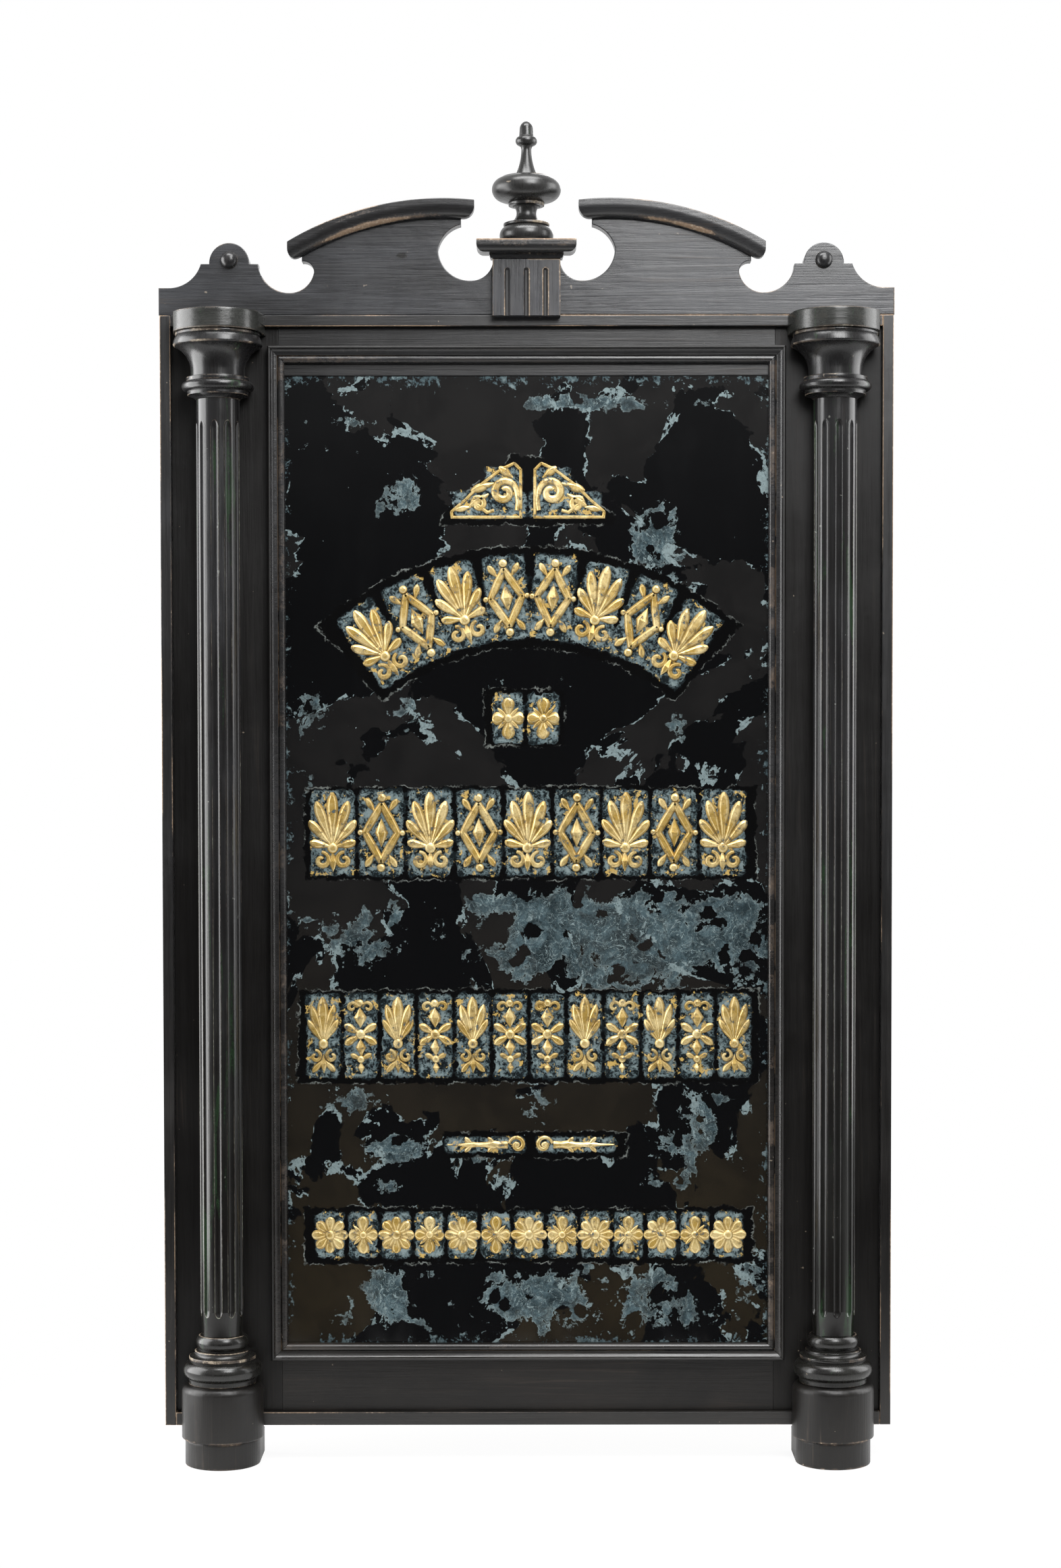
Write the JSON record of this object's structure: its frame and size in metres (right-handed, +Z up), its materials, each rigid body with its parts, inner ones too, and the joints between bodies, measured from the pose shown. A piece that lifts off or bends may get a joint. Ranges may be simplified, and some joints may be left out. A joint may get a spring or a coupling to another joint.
{
  "type": "advertising sign",
  "caption": "Tall black wooden wall sign with fluted columns, a broken curved crest, an urn finial and a gilded black glass panel.",
  "frame": {"origin": "on the wall plane, behind the middle of the case's top board, at half that board's thickness", "axes": "+Z up, +Y from the front of the sign into the wall, +X to the right of someone who faces the sign"},
  "size_m": [1.083, 0.1325, 1.9801],
  "materials": {
    "ebonised_wood": "satin black paint",
    "polished_black": "glossy black varnish, worn",
    "old_pine": "bare, oxidised",
    "beech": "bare",
    "blackened_glass": "polished, painted black and gilded on the back",
    "iron": "dull, brown with age"
  },
  "bodies": {
    "sign": {"left_case_side": "ebonised_wood", "right_case_side": "ebonised_wood", "case_top_board": "ebonised_wood", "case_bottom_board": "ebonised_wood", "left_stile": "ebonised_wood", "right_stile": "ebonised_wood", "top_rail": "ebonised_wood", "bottom_rail": "ebonised_wood", "left_glass_moulding": "ebonised_wood", "right_glass_moulding": "ebonised_wood", "top_glass_moulding": "ebonised_wood", "bottom_glass_moulding": "ebonised_wood", "top_filler": "ebonised_wood", "crest_board": "ebonised_wood", "left_cornice": "ebonised_wood", "right_cornice": "ebonised_wood", "plinth_block": "ebonised_wood", "plinth_necking": "ebonised_wood", "plinth_cap": "ebonised_wood", "left_drum": "ebonised_wood", "right_drum": "ebonised_wood", "left_foot": "ebonised_wood", "right_foot": "ebonised_wood", "left_abacus": "polished_black", "left_capital": "polished_black", "left_shaft": "polished_black", "left_base": "polished_black", "left_ear_knob": "polished_black", "left_setting_block": "beech", "left_hanger_plate": "iron", "left_hanger_inner_screw": "iron", "left_hanger_outer_screw": "iron", "left_top_button_screw": "iron", "left_middle_button_screw": "iron", "left_bottom_button_screw": "iron", "right_abacus": "polished_black", "right_capital": "polished_black", "right_shaft": "polished_black", "right_base": "polished_black", "right_ear_knob": "polished_black", "right_setting_block": "beech", "right_hanger_plate": "iron", "right_hanger_inner_screw": "iron", "right_hanger_outer_screw": "iron", "right_top_button_screw": "iron", "right_middle_button_screw": "iron", "right_bottom_button_screw": "iron", "finial": "polished_black", "glass_pane": "blackened_glass", "top_backing_board": "old_pine", "middle_backing_board": "old_pine", "bottom_backing_board": "old_pine", "crest_glue_block": "old_pine"},
    "left_top_button": {"left_top_button": "beech"},
    "left_middle_button": {"left_middle_button": "beech"},
    "left_bottom_button": {"left_bottom_button": "beech"},
    "right_top_button": {"right_top_button": "beech"},
    "right_middle_button": {"right_middle_button": "beech"},
    "right_bottom_button": {"right_bottom_button": "beech"}
  },
  "joints": [
    {"name": "left_top_button_turn", "type": "hinge", "parent": "sign", "child": "left_top_button", "pos_m": [-0.385, -0.0097, -0.29752], "axis": [0, 1, 0], "continuous": true},
    {"name": "left_middle_button_turn", "type": "hinge", "parent": "sign", "child": "left_middle_button", "pos_m": [-0.385, -0.0097, -0.78895], "axis": [0, 1, 0], "continuous": true},
    {"name": "left_bottom_button_turn", "type": "hinge", "parent": "sign", "child": "left_bottom_button", "pos_m": [-0.385, -0.0097, -1.28038], "axis": [0, 1, 0], "continuous": true},
    {"name": "right_top_button_turn", "type": "hinge", "parent": "sign", "child": "right_top_button", "pos_m": [0.385, -0.0097, -0.29752], "axis": [0, 1, 0], "continuous": true},
    {"name": "right_middle_button_turn", "type": "hinge", "parent": "sign", "child": "right_middle_button", "pos_m": [0.385, -0.0097, -0.78895], "axis": [0, 1, 0], "continuous": true},
    {"name": "right_bottom_button_turn", "type": "hinge", "parent": "sign", "child": "right_bottom_button", "pos_m": [0.385, -0.0097, -1.28038], "axis": [0, 1, 0], "continuous": true}
  ]
}
